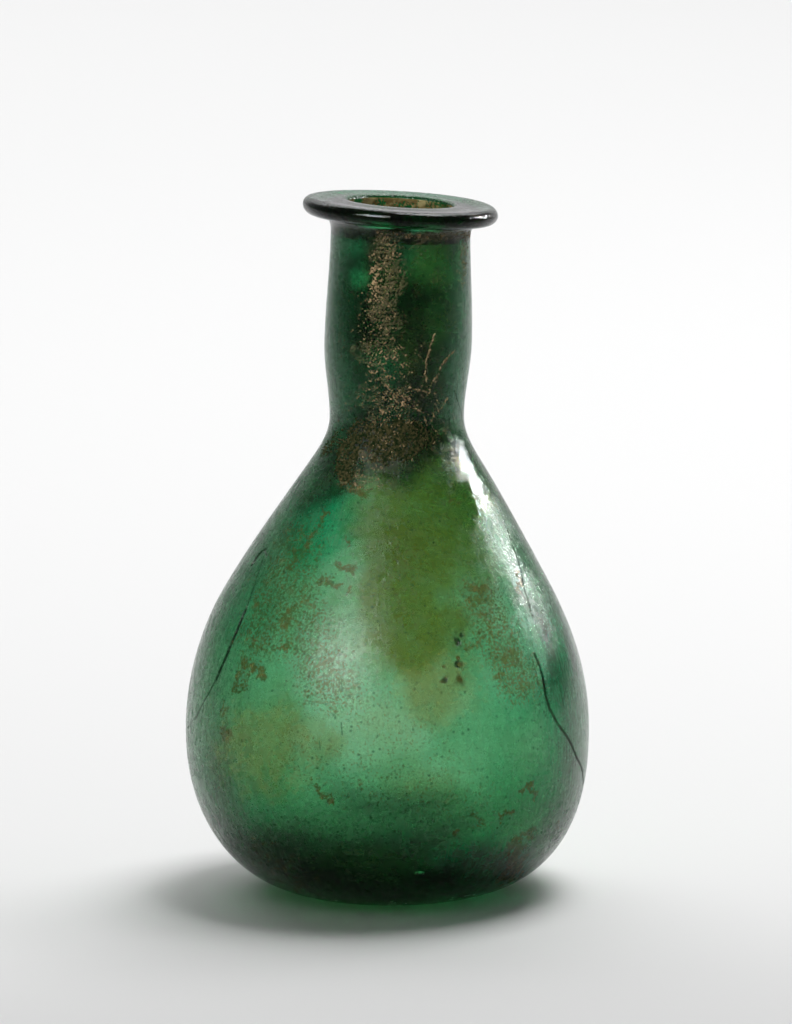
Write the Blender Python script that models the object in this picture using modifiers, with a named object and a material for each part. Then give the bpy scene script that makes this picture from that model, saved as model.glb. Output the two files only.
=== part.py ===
"""A mould-free, hand-blown glass perfume flask: pear-shaped body, leaning neck and a folded rim disc.

Metres, +Z up. The origin is the centre of the foot, on the surface that the flask stands on.
"""

import math

import bmesh
import bpy
from mathutils import Vector

# Driving sizes of the whole flask
HEIGHT = 0.0897
BELLY_RADIUS = 0.02625
BELLY_HEIGHT = 0.0210
FOOT_RADIUS = 0.0099

# Outline of the shoulder, as height and radius where the slope is stated
SHOULDER_HEIGHT = 0.0400
SHOULDER_RADIUS = 0.0209
SHOULDER_SLOPE = -0.56
CONE_HEIGHT = 0.0562
CONE_RADIUS = 0.0110
CONE_SLOPE = -0.66

# Outline of the neck, whose slope is upright at each of these
NECK_ROOT_HEIGHT = 0.0618
NECK_ROOT_RADIUS = 0.00872
NECK_SWELL_HEIGHT = 0.0715
NECK_SWELL_RADIUS = 0.00958
NECK_TOP_RADIUS = 0.00905

# Rim disc, a tube of glass folded out and flattened
RIM_RADIUS = 0.0126
RIM_THICKNESS = 0.0024
RIM_FILLET = 0.0016
MOUTH_RADIUS = 0.0066
LIP_ROUND = 0.0007
FOLD_DEPTH = 0.0030

# Walls
BODY_WALL = 0.0016
NECK_WALL = 0.0017
BASE_THICKNESS = 0.0029
FLOOR_SETBACK = 0.00145

# Underside: a flat resting ring round a shallow hollow
FOOT_RING_WIDTH = 0.0016
KICK_DEPTH = 0.0011

# The lower body is a superellipse of this power
HEEL_POWER = 2.2

# What the glassblower's hand left: a leaning neck, a tilted rim and a slightly oval section
LEAN_START_HEIGHT = 0.0345
LEAN_SHIFT = 0.0012
NECK_LEAN = 0.0005
FOOT_SHIFT = 0.0005
RIM_TILT = math.radians(3.6)
OVAL = 0.985

# How finely the curves are cut
SEGMENTS = 40
HEEL_STEPS = 9
SHOULDER_STEPS = 6
CONE_STEPS = 5
FILLET_STEPS = 4
NECK_STEPS = 5
ROUND_STEPS = 7
KICK_STEPS = 4
MERGE_DISTANCE = 1e-5
SHARP_ANGLE = math.radians(50)

GLASS_COLOUR = (0.05, 0.36, 0.20, 1.0)
GLASS_ROUGHNESS = 0.12
GLASS_IOR = 1.52


def neck_top_height():
    """Where the neck's wall ends and its fillet under the rim begins."""
    return HEIGHT - RIM_THICKNESS - RIM_FILLET


def heel(foot, belly, low, high, steps):
    """Superellipse quarter from (foot, low) out and up to (belly, high), as (radius, height) points."""
    points = []
    for step in range(steps + 1):
        turn = math.pi / 2 * step / steps
        out = math.sin(turn) ** (2 / HEEL_POWER)
        up = math.cos(turn) ** (2 / HEEL_POWER)
        points.append((foot + (belly - foot) * out, high - (high - low) * up))
    return points


def hermite(start, end, steps):
    """Cubic between two (height, radius, slope) stations, as (radius, height) points after the first."""
    (z0, r0, s0), (z1, r1, s1) = start, end
    span = z1 - z0
    points = []
    for step in range(1, steps + 1):
        t = step / steps
        radius = (
            (2 * t**3 - 3 * t**2 + 1) * r0
            + (t**3 - 2 * t**2 + t) * span * s0
            + (3 * t**2 - 2 * t**3) * r1
            + (t**3 - t**2) * span * s1
        )
        points.append((radius, z0 + span * t))
    return points


def arc(centre, radius, start, end, steps):
    """Points on a circle round centre = (radius, height), between two angles in radians."""
    points = []
    for step in range(steps + 1):
        angle = start + (end - start) * step / steps
        points.append(
            (
                centre[0] + radius * math.cos(angle),
                centre[1] + radius * math.sin(angle),
            )
        )
    return points


def outer_wall():
    """The outside from the foot's edge up to the fillet under the rim."""
    belly = (BELLY_HEIGHT, BELLY_RADIUS, 0.0)
    shoulder = (SHOULDER_HEIGHT, SHOULDER_RADIUS, SHOULDER_SLOPE)
    cone = (CONE_HEIGHT, CONE_RADIUS, CONE_SLOPE)
    root = (NECK_ROOT_HEIGHT, NECK_ROOT_RADIUS, 0.0)
    swell = (NECK_SWELL_HEIGHT, NECK_SWELL_RADIUS, 0.0)
    top = (neck_top_height(), NECK_TOP_RADIUS, 0.0)
    points = heel(FOOT_RADIUS, BELLY_RADIUS, 0.0, BELLY_HEIGHT, HEEL_STEPS)
    points += hermite(belly, shoulder, SHOULDER_STEPS)
    points += hermite(shoulder, cone, CONE_STEPS)
    points += hermite(cone, root, FILLET_STEPS)
    points += hermite(root, swell, NECK_STEPS)
    points += hermite(swell, top, NECK_STEPS)
    return points


def wall_at(height):
    """Wall thickness, which eases from the body's to the neck's over the cone."""
    share = (height - SHOULDER_HEIGHT) / (NECK_ROOT_HEIGHT - SHOULDER_HEIGHT)
    share = min(max(share, 0.0), 1.0)
    return BODY_WALL + (NECK_WALL - BODY_WALL) * share


def inner_wall():
    """The inside from its floor's edge up to where the rim's fold turns in, a wall inside the outer wall."""
    outside = [Vector(point) for point in outer_wall()]
    fold_height = HEIGHT - FOLD_DEPTH
    points = heel(
        FOOT_RADIUS - FLOOR_SETBACK,
        BELLY_RADIUS - BODY_WALL,
        BASE_THICKNESS,
        BELLY_HEIGHT,
        HEEL_STEPS,
    )
    for index in range(HEEL_STEPS + 1, len(outside) - 1):
        along = (outside[index + 1] - outside[index - 1]).normalized()
        inward = Vector((-along.y, along.x))
        inside = outside[index] + inward * wall_at(outside[index].y)
        if inside.y < fold_height:
            points.append(tuple(inside))
    points.append((NECK_TOP_RADIUS - NECK_WALL, fold_height))
    return points


def rim():
    """From the mouth's edge over the flat top, round the disc's edge and back under it to the neck."""
    half = RIM_THICKNESS / 2
    mouth_edge = arc(
        (MOUTH_RADIUS + LIP_ROUND, HEIGHT - LIP_ROUND),
        LIP_ROUND,
        math.pi,
        math.pi / 2,
        FILLET_STEPS,
    )
    disc_edge = arc(
        (RIM_RADIUS - half, HEIGHT - half),
        half,
        math.pi / 2,
        -math.pi / 2,
        ROUND_STEPS,
    )
    under = arc(
        (NECK_TOP_RADIUS + RIM_FILLET, neck_top_height()),
        RIM_FILLET,
        math.pi / 2,
        math.pi,
        FILLET_STEPS,
    )
    return mouth_edge + disc_edge + under


def hollow(edge_radius, edge_height, steps):
    """Shallow dome over the underside's hollow, from its edge in to the axis."""
    points = []
    for step in range(1, steps + 1):
        share = 1 - step / steps
        points.append((edge_radius * share, edge_height + KICK_DEPTH * (1 - share**2)))
    return points


def profile():
    """The section from the floor's centre inside, up over the rim and down to the centre underneath."""
    inside = inner_wall()
    floor_edge = inside[0]
    floor = hollow(floor_edge[0], floor_edge[1], KICK_STEPS)
    ring_inner = FOOT_RADIUS - FOOT_RING_WIDTH
    underside = [(ring_inner, 0.0)] + hollow(ring_inner, 0.0, KICK_STEPS)
    return floor[::-1] + inside + rim() + outer_wall()[-2::-1] + underside


def smooth_step(low, high, value):
    """Eases from 0 at low to 1 at high."""
    share = min(max((value - low) / (high - low), 0.0), 1.0)
    return share * share * (3 - 2 * share)


def hand_blown(point):
    """Where the glassblower's hand left a turned point. The rim slants as one, so its top stays flat."""
    x, y, z = point
    shift = FOOT_SHIFT * (1 - smooth_step(0.0, BELLY_HEIGHT, z))
    shift += LEAN_SHIFT * smooth_step(LEAN_START_HEIGHT, NECK_ROOT_HEIGHT, z)
    shift += NECK_LEAN * smooth_step(NECK_ROOT_HEIGHT, neck_top_height(), z)
    slant = math.tan(RIM_TILT) * smooth_step(NECK_SWELL_HEIGHT, neck_top_height(), z)
    return Vector((x + shift, y * OVAL, z - x * slant))


def glass():
    """Clear green glass."""
    material = bpy.data.materials.new("green_glass")
    material.use_nodes = True
    shader = material.node_tree.nodes["Principled BSDF"]
    shader.inputs["Base Color"].default_value = GLASS_COLOUR
    shader.inputs["Roughness"].default_value = GLASS_ROUGHNESS
    shader.inputs["IOR"].default_value = GLASS_IOR
    shader.inputs["Transmission Weight"].default_value = 1.0
    shader.inputs["Metallic"].default_value = 0.0
    return material


def turned(name, section):
    """A closed mesh turned from a section whose two ends lie on the axis."""
    mesh = bpy.data.meshes.new(name + "_section")
    vertices = [(radius, 0.0, height) for radius, height in section]
    edges = [(index, index + 1) for index in range(len(section) - 1)]
    mesh.from_pydata(vertices, edges, [])
    piece = bpy.data.objects.new(name, mesh)
    bpy.context.scene.collection.objects.link(piece)
    screw = piece.modifiers.new("turn", "SCREW")
    screw.axis = "Z"
    screw.steps = SEGMENTS
    screw.render_steps = SEGMENTS
    screw.use_merge_vertices = True
    screw.merge_threshold = MERGE_DISTANCE
    screw.use_smooth_shade = True
    return piece


def shaped(piece):
    """The piece with its modifiers applied and every point moved by the glassblower's hand."""
    bpy.context.view_layer.update()
    evaluated = piece.evaluated_get(bpy.context.evaluated_depsgraph_get())
    mesh = bpy.data.meshes.new_from_object(evaluated)
    name = piece.name
    bpy.data.objects.remove(piece)
    cleaner = bmesh.new()
    cleaner.from_mesh(mesh)
    bmesh.ops.remove_doubles(cleaner, verts=cleaner.verts, dist=MERGE_DISTANCE)
    for vertex in cleaner.verts:
        vertex.co = hand_blown(vertex.co)
    bmesh.ops.recalc_face_normals(cleaner, faces=cleaner.faces)
    cleaner.to_mesh(mesh)
    cleaner.free()
    mesh.name = name
    return bpy.data.objects.new(name, mesh)


def main():
    """Clears the scene and makes the flask."""
    for old in list(bpy.data.objects):
        bpy.data.objects.remove(old)
    collection = bpy.data.collections.new("glass_perfume_flask")
    bpy.context.scene.collection.children.link(collection)
    flask = shaped(turned("flask", profile()))
    flask.data.materials.clear()
    flask.data.materials.append(glass())
    flask.data.shade_smooth()
    flask.data.set_sharp_from_angle(angle=SHARP_ANGLE)
    collection.objects.link(flask)


main()
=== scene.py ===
"""Glass perfume flask: blown green glass with its cracks, pits, bubbles and soil, in a plain studio.

Metres, +Z up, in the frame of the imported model. The outline repeats the part's own named sizes.
"""

import math

import bmesh
import bpy
import numpy as np
from mathutils import Matrix, Vector
from mathutils.bvhtree import BVHTree
from mathutils.kdtree import KDTree

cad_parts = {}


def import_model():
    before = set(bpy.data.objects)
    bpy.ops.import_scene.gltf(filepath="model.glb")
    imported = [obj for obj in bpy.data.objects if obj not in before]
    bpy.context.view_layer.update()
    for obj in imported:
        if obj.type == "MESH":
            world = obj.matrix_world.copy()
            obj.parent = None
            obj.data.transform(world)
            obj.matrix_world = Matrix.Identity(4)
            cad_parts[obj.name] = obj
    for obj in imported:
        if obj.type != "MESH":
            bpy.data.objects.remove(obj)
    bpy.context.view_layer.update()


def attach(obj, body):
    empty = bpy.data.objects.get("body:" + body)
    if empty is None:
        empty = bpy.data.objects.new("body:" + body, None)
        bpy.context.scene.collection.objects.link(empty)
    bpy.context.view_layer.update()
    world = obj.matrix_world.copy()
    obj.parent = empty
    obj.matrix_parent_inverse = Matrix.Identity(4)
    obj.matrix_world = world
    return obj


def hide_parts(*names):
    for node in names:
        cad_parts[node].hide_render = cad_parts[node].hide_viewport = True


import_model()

# Outline of the glass, as in the part
HEIGHT = 0.0897
BELLY_RADIUS = 0.02625
BELLY_HEIGHT = 0.0210
FOOT_RADIUS = 0.0099
SHOULDER_HEIGHT = 0.0400
SHOULDER_RADIUS = 0.0209
SHOULDER_SLOPE = -0.56
CONE_HEIGHT = 0.0562
CONE_RADIUS = 0.0110
CONE_SLOPE = -0.66
NECK_ROOT_HEIGHT = 0.0618
NECK_ROOT_RADIUS = 0.00872
NECK_SWELL_HEIGHT = 0.0715
NECK_SWELL_RADIUS = 0.00958
NECK_TOP_RADIUS = 0.00905
RIM_RADIUS = 0.0126
RIM_THICKNESS = 0.0024
RIM_FILLET = 0.0016
MOUTH_RADIUS = 0.0066
LIP_ROUND = 0.0007
FOLD_DEPTH = 0.0030
BODY_WALL = 0.0016
NECK_WALL = 0.0017
BASE_THICKNESS = 0.0029
FLOOR_SETBACK = 0.00145
FOOT_RING_WIDTH = 0.0016
KICK_DEPTH = 0.0011
HEEL_POWER = 2.2
LEAN_START_HEIGHT = 0.0345
LEAN_SHIFT = 0.0012
NECK_LEAN = 0.0005
FOOT_SHIFT = 0.0005
RIM_TILT = math.radians(3.6)
OVAL = 0.985

# How finely the glass is cut, as steps along each stretch of the outside
SEGMENTS = 240
HEEL_STEPS = 32
SHOULDER_STEPS = 22
CONE_STEPS = 22
FILLET_STEPS = 10
NECK_STEPS = 24
ROUND_STEPS = 14
LIP_STEPS = 8
FLAT_STEPS = 8
KICK_STEPS = 8
INSIDE_SHARE = 0.6
FINE_EDGE = 0.00011
FINE_REACH = 0.00035
STAIN_EDGE = 0.00032
STAIN_REACH = 0.0007
FINE_PASSES = 4
FINE_TOP = 0.0730

# What the blower's hand left in the surface
OUTER_SETBACK = 0.00006
OUTER_WAVE = 0.00008
INNER_WAVE = 0.00007
WAVE_LENGTH = 0.018
THINNING = 0.0007
RIM_DISH = 0.00018

# The photograph's camera
PHOTO_WIDTH = 792
PHOTO_HEIGHT = 1024
SENSOR = 36.0
LENS = 218.0
CAMERA_PITCH = math.radians(9.5)
CAMERA_DISTANCE = 0.800
AIM = Vector((0.0, 0.0, 0.045))
AIM_PIXEL = (387.3, 544.9)
FOCAL_PIXELS = LENS / SENSOR * PHOTO_HEIGHT
FORWARD = Vector((0.0, math.cos(CAMERA_PITCH), -math.sin(CAMERA_PITCH)))
RIGHT = Vector((1.0, 0.0, 0.0))
UP = Vector((0.0, math.sin(CAMERA_PITCH), math.cos(CAMERA_PITCH)))

# Cracks and pits, in pixels of the photograph. A crack is its points, width and depth, and a pit is its
# x and y, radius and depth
CRACKS = [
    ([(262, 560), (250, 597), (245, 610)], 0.00009, 0.00012),
    ([(245, 610), (236, 632), (226, 656), (216, 679)], 0.00024, 0.00040),
    ([(216, 679), (207, 695), (196, 716), (187, 728)], 0.00012, 0.00020),
    ([(504, 518), (512, 542), (520, 564), (525, 589), (529, 602), (533, 618)], 0.00010, 0.00020),
    ([(535, 654), (541, 668), (544, 681), (546, 695), (550, 709), (558, 724), (570, 741), (577, 757),
      (583, 770), (584, 784)], 0.00021, 0.00030),
    ([(455, 391), (458, 401), (462, 414), (464, 425)], 0.00008, 0.00015),
    ([(450, 418), (450, 431)], 0.00008, 0.00015),
    ([(251, 565), (256, 557), (262, 550), (266, 548)], 0.00022, 0.00020),
    ([(264, 549), (266, 555)], 0.00012, 0.00015),
    ([(341, 723), (342, 735)], 0.00008, 0.00010),
    ([(341, 680), (342, 691)], 0.00007, 0.00010),
    ([(319, 741), (320, 750)], 0.00007, 0.00010),
    ([(463, 368), (464, 391)], 0.00007, 0.00010),
]
PITS = [
    (458.0, 641.0, 0.00050, 0.0004),
    (462.0, 635.0, 0.00030, 0.0003),
    (458.7, 658.0, 0.00036, 0.0004),
    (459.6, 664.5, 0.00046, 0.0004),
    (460.0, 679.0, 0.00050, 0.0002),
    (445.4, 680.6, 0.00040, 0.0003),
    (444.0, 666.5, 0.00025, 0.0002),
]

# Bubbles in the wall: x, y, half width, half height, half thickness and depth. The rest are scattered
BUBBLES = [
    (420, 876, 0.00090, 0.00055, 0.00025, 0.00060),
    (434, 851, 0.00012, 0.00012, 0.00012, 0.00035),
    (475, 845, 0.00012, 0.00012, 0.00012, 0.00035),
    (360, 840, 0.00014, 0.00014, 0.00014, 0.00035),
    (432, 784, 0.00016, 0.00014, 0.00014, 0.00040),
]
SCATTERED_BUBBLES = 26

# Soil film, and deeper green glass that is partly painted shade, in pixels of the photograph: centre, half
# widths and how much from 0 to 1
FILM_PATCHES = [
    (424, 520, 74, 96, 1.0),
    (408, 612, 56, 66, 1.0),
    (444, 684, 44, 42, 0.55),
    (350, 612, 30, 56, 0.35),
    (268, 748, 54, 52, 0.55),
    (425, 787, 34, 14, 0.30),
    (365, 866, 74, 24, 0.50),
    (425, 322, 34, 90, 0.90),
    (385, 300, 28, 70, 0.60),
    (428, 252, 34, 16, 0.60),
]
# Deeper green, partly for thicker glass and partly painted shade on the body's upper left, edges and base
DEEP_AND_SHADED_PATCHES = [
    (322, 525, 48, 62, 1.0),
    (250, 590, 30, 80, 0.5),
    (415, 512, 62, 48, 0.5),
    (560, 690, 22, 130, 0.9),
    (515, 665, 48, 64, 0.45),
    (545, 790, 50, 40, 0.6),
    (250, 810, 60, 50, 0.5),
    (470, 862, 90, 34, 1.0),
]
THIN_PATCHES = [
    (365, 742, 62, 44, 1.0),
    (400, 780, 60, 24, 0.6),
    (512, 655, 42, 54, 0.9),
    (440, 700, 40, 40, 0.6),
    (490, 860, 60, 30, 0.8),
]
POLISHED_PATCHES = [
    (475, 478, 22, 46, 1.0),
    (514, 570, 18, 40, 0.70),
    (400, 215, 110, 28, 1.0),
    (400, 320, 100, 100, 0.85),
    (572, 690, 20, 110, 0.60),
    (390, 868, 170, 34, 0.65),
]
# Dark patches at the body's edges: sandy soil, with painted shade where the glass turns away
EDGE_SOIL_AND_SHADE = [
    (566, 690, 16, 120, 0.60),
    (222, 800, 30, 60, 0.35),
]
DULL_PATCHES = [
    (383, 445, 34, 22, 1.0),
]
# Where the dark soil in the neck ends: a slanted edge, with painted shade just above it under the neck
NECK_SOIL_AND_SHADE_EDGE = (330, 500)
NECK_SOIL_AND_SHADE_SLANT = -0.32
NECK_WINDOWS = [
    (360, 278, 9, 10, 1.0),
    (444, 274, 7, 12, 0.9),
    (350, 246, 20, 12, 0.40),
    (428, 262, 26, 24, 0.55),
    (434, 322, 12, 26, 0.30),
    (408, 356, 10, 18, 0.25),
    (345, 400, 12, 50, 0.12),
]
# Dark patches on the inside floor: soil, with painted shade of the shadow under the base
BASE_SOIL_AND_SHADE = [
    (285, 838, 50, 14, 0.75),
    (330, 872, 80, 24, 0.35),
]

# Brown bloom on the neck, dark soil and painted shade under it and olive bloom on the body, laid out in the
# same way
BROWN_PATCHES = [
    (388, 262, 20, 38, 0.80),
    (384, 310, 20, 44, 0.85),
    (378, 345, 24, 26, 0.70),
    (385, 405, 36, 44, 0.60),
    (358, 468, 24, 40, 0.62),
    (430, 235, 44, 6, 1.20),
    (463, 262, 6, 24, 0.70),
    (424, 250, 34, 14, 0.50),
    (430, 275, 24, 24, 0.35),
]
# Near-black soil under the neck, partly painted shade laid over the glass's reflection there
DARK_SOIL_AND_SHADE_PATCHES = [
    (390, 440, 52, 24, 1.05),
    (346, 456, 20, 28, 1.05),
    (415, 330, 22, 60, 0.40),
]
OLIVE_PATCHES = [
    (440, 686, 52, 38, 1.25),
    (268, 748, 56, 52, 1.05),
]

# Soil caked on the outside, in pixels of the photograph: a stroke's two ends, half width and how thick
NECK_STROKES = [
    (386, 240, 378, 300, 18, 0.75),
    (374, 300, 385, 360, 24, 0.62),
    (385, 360, 395, 430, 30, 0.72),
    (395, 430, 362, 490, 20, 0.66),
    (376, 268, 375, 292, 7, 1.05),
    (388, 235, 470, 235, 5, 0.75),
    (464, 244, 463, 282, 5, 0.75),
    (388, 395, 404, 400, 12, 0.85),
    (435, 333, 430, 350, 1.2, 1.25),
    (430, 350, 425, 375, 1.2, 1.25),
    (425, 375, 427, 383, 1.2, 1.25),
    (455, 350, 444, 364, 1.0, 1.1),
    (444, 364, 437, 378, 1.0, 1.1),
    (437, 378, 426, 395, 1.0, 1.1),
    (409, 388, 417, 390, 1.2, 1.2),
    (417, 390, 426, 392, 1.2, 1.2),
    (413, 409, 424, 414, 1.1, 1.1),
    (424, 414, 428, 425, 1.1, 1.1),
    (428, 425, 441, 409, 0.9, 1.0),
    (441, 409, 448, 399, 0.9, 1.0),
    (420, 360, 440, 430, 18, 0.50),
    (382, 335, 402, 430, 36, 0.52),
    (345, 330, 345, 420, 12, 0.35),
]
BODY_STROKES = [
    (344, 480, 369, 494, 7, 0.9),
    (327, 510, 327, 512, 4, 0.9),
    (323, 525, 323, 526, 3, 0.9),
    (327, 512, 312, 536, 3, 0.80),
    (315, 532, 299, 553, 6, 0.90),
    (299, 553, 289, 567, 5, 0.90),
    (346, 540, 346, 541, 4, 0.9),
    (339, 563, 354, 570, 4, 0.9),
    (320, 583, 343, 583, 4, 0.9),
    (308, 598, 308, 599, 3, 0.9),
    (296, 604, 284, 624, 5, 0.95),
    (256, 606, 256, 607, 5, 0.9),
    (250, 631, 250, 632, 6, 0.9),
    (257, 647, 257, 648, 4, 0.9),
    (247, 664, 261, 674, 6, 1.0),
    (239, 674, 237, 690, 5, 1.0),
    (250, 655, 240, 680, 9, 0.6),
    (275, 649, 287, 649, 4, 0.9),
    (302, 639, 302, 640, 4, 0.8),
    (312, 662, 329, 662, 4, 0.9),
    (319, 676, 319, 677, 4, 0.8),
    (334, 617, 334, 618, 3, 0.8),
    (350, 592, 350, 593, 3, 0.8),
    (290, 600, 330, 680, 40, 0.66),
    (300, 540, 260, 640, 30, 0.66),
    (454, 478, 452, 505, 1.2, 0.85),
    (400, 560, 400, 610, 30, 0.45),
    (480, 600, 520, 680, 30, 0.68),
    (360, 700, 430, 760, 50, 0.42),
    (300, 760, 470, 800, 40, 0.45),
    (468, 588, 487, 588, 5, 1.0),
    (466, 600, 487, 600, 4, 0.9),
    (484, 612, 493, 631, 5, 0.9),
    (481, 636, 488, 642, 4, 0.8),
    (473, 648, 473, 649, 5, 0.8),
    (510, 655, 510, 656, 10, 0.9),
    (497, 676, 497, 677, 7, 0.9),
    (523, 685, 523, 686, 6, 0.9),
    (520, 578, 522, 594, 5, 0.9),
    (524, 790, 530, 786, 3, 1.0),
    (530, 786, 535, 800, 3, 1.0),
    (525, 834, 533, 834, 6, 0.9),
    (518, 843, 515, 870, 8, 1.1),
    (515, 872, 502, 880, 6, 1.0),
    (502, 813, 512, 813, 3, 0.9),
    (472, 821, 481, 821, 5, 0.8),
    (458, 833, 458, 834, 3, 0.9),
    (559, 825, 559, 826, 4, 0.8),
    (224, 732, 224, 733, 7, 0.8),
    (223, 708, 223, 709, 6, 0.8),
    (315, 788, 327, 800, 5, 0.9),
    (260, 850, 300, 880, 18, 0.55),
    (205, 690, 220, 800, 14, 0.40),
]

# How much soil makes a fleck, and each layer's lowest and highest place and cell
FLECK_LEVEL = 3.0
SOIL_REACH = 2.9
BLOOM_LEVEL = 2.1
BLOOM_REACH = 2.8
FAINTEST = 0.25
NECK_BAND = (0.0540, 0.0868, 0.00010)
BODY_BAND = (0.0020, 0.0560, 0.00013)
BLOOM_BAND = (0.0540, 0.0868, 0.00014)
FILM_BAND = (0.0080, 0.0450, 0.00022)
MOUTH_BAND = (0.0850, 0.0893, 0.00014)
CRUST_HEIGHT = 0.00005
CRUST_EDGE = 0.000005
CRUST_DEPTH = 0.00002
CRUST_FULL = 0.5
SHARP_ANGLE = math.radians(50)

# The glass itself, and the colours of what lies in and on it
GLASS_IOR = 1.52
GLASS_DENSITY = 800.0
GLASS_TINT = (0.10, 0.63, 0.34)
REFLECTED = (0.3, 0.3, 0.3)
CLEAR = (0.97, 1.0, 0.97)
CLOUDED = (0.95, 0.90, 0.86)
# Deeper green, partly painted shade
DEEP_GREEN_AND_SHADE = (0.06, 0.70, 0.56)
FILM = (0.74, 0.41, 0.13)
# Dark soil, also laid as painted shade
DIRT_AND_SHADE = (0.009, 0.035, 0.014)
CAKED = (0.045, 0.020, 0.004)
STAIN = (0.58, 0.15, 0.055)
SOIL = (0.022, 0.017, 0.008)
BROWN = (0.076, 0.055, 0.025)
TAN = (0.230, 0.158, 0.086)
UMBER = (0.100, 0.074, 0.020)
OCHRE = (0.165, 0.118, 0.036)
OLIVE = (0.110, 0.096, 0.045)
KHAKI = (0.210, 0.170, 0.090)
AMBER = (0.300, 0.270, 0.050)
SAND = (0.360, 0.320, 0.080)
# Near-black and dark brown for the soil and painted shade at the neck's root
PEAT_AND_SHADE = (0.004, 0.009, 0.003)
LOAM_AND_SHADE = (0.034, 0.030, 0.013)
LINING_DARK = (0.070, 0.050, 0.014)
LINING_LIGHT = (0.190, 0.160, 0.070)

# Each dry layer's grains to the metre, and how much of the glass they cover
SOIL_GRAINS = 2200.0
DARK_GRAINS = 3000.0
FILM_GRAINS = 2400.0
LINING_GRAINS = 1200.0
BROWN_COVER = 0.20
BLOOM_COVER = 0.22
FILM_COVER = 0.055

# The studio: a box is its angle round the flask, height angle, width and height, and power
FLOOR_SIZE = 12.0
# The floor is darker in front of the flask, towards the camera, as painted shade
FLOOR_NEAR_SHADED = (0.62, 0.62, 0.62)
FLOOR_FAR = (0.80, 0.80, 0.80)
FLOOR_SHADE_FADE = (-0.16, 0.04)
BOX_DISTANCE = 0.9
FRONT_BOX = (-30, 31, (0.30, 0.38), 12.5)
BACK_BOX = (122, 23, (0.045, 0.13), 3.6)
LOW_BOX = (120, 14.5, (0.045, 0.12), 1.2)
WORLD_FADE = (0.70, 0.97)
WORLD_DIM = 0.15
WORLD_BRIGHT = 0.85


def photo_station():
    """Where the camera stands, so that the aim falls on its pixel."""
    pixel = CAMERA_DISTANCE / FOCAL_PIXELS
    across = (PHOTO_WIDTH / 2 - AIM_PIXEL[0]) * pixel
    above = (AIM_PIXEL[1] - PHOTO_HEIGHT / 2) * pixel
    return AIM - CAMERA_DISTANCE * FORWARD + across * RIGHT + above * UP


def photo_pixels(points):
    """The photograph's x and y of each of an array of points."""
    offset = points - np.array(photo_station())
    depth = offset @ np.array(FORWARD)
    x = PHOTO_WIDTH / 2 + FOCAL_PIXELS * (offset @ np.array(RIGHT)) / depth
    y = PHOTO_HEIGHT / 2 - FOCAL_PIXELS * (offset @ np.array(UP)) / depth
    return x, y


def on_glass(surface, x, y):
    """The point of the surface that a pixel of the photograph shows."""
    across = (x - PHOTO_WIDTH / 2) / FOCAL_PIXELS
    above = (PHOTO_HEIGHT / 2 - y) / FOCAL_PIXELS
    direction = (FORWARD + across * RIGHT + above * UP).normalized()
    place = surface.ray_cast(photo_station(), direction)[0]
    if place is None:
        raise ValueError(f"pixel {x}, {y} is off the glass")
    return place


def ripples(points, wavelength, seed, waves=24):
    """A smooth random field of about unit height at each point, with bumps about a wavelength apart."""
    random = np.random.default_rng(seed)
    directions = random.normal(size=(waves, 3))
    directions /= np.linalg.norm(directions, axis=1)[:, None]
    pace = 2 * math.pi / wavelength * random.uniform(0.7, 1.3, waves)
    phases = random.uniform(0, 2 * math.pi, waves)
    total = np.zeros(len(points))
    for direction, rate, phase in zip(directions, pace, phases):
        total += np.sin(points @ (direction * rate) + phase)
    return total / math.sqrt(waves / 2)


def smooth_step(low, high, value):
    """Eases from 0 at low to 1 at high."""
    share = np.clip((value - low) / (high - low), 0.0, 1.0)
    return share * share * (3 - 2 * share)


def neck_top_height():
    """Where the neck's wall ends and its fillet under the rim begins."""
    return HEIGHT - RIM_THICKNESS - RIM_FILLET


def heel(foot, belly, low, high, steps):
    """Superellipse quarter from (foot, low) out and up to (belly, high), as (radius, height) points."""
    points = []
    for step in range(steps + 1):
        turn = math.pi / 2 * step / steps
        out = math.sin(turn) ** (2 / HEEL_POWER)
        up = max(math.cos(turn), 0.0) ** (2 / HEEL_POWER)
        points.append((foot + (belly - foot) * out, high - (high - low) * up))
    return points


def hermite(start, end, steps):
    """Cubic between two (height, radius, slope) stations, as (radius, height) points after the first."""
    (z0, r0, s0), (z1, r1, s1) = start, end
    span = z1 - z0
    points = []
    for step in range(1, steps + 1):
        t = step / steps
        radius = (
            (2 * t**3 - 3 * t**2 + 1) * r0
            + (t**3 - 2 * t**2 + t) * span * s0
            + (3 * t**2 - 2 * t**3) * r1
            + (t**3 - t**2) * span * s1
        )
        points.append((radius, z0 + span * t))
    return points


def arc(centre, radius, start, end, steps):
    """Points on a circle round centre = (radius, height), between two angles in radians."""
    points = []
    for step in range(steps + 1):
        angle = start + (end - start) * step / steps
        points.append((centre[0] + radius * math.cos(angle), centre[1] + radius * math.sin(angle)))
    return points


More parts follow.
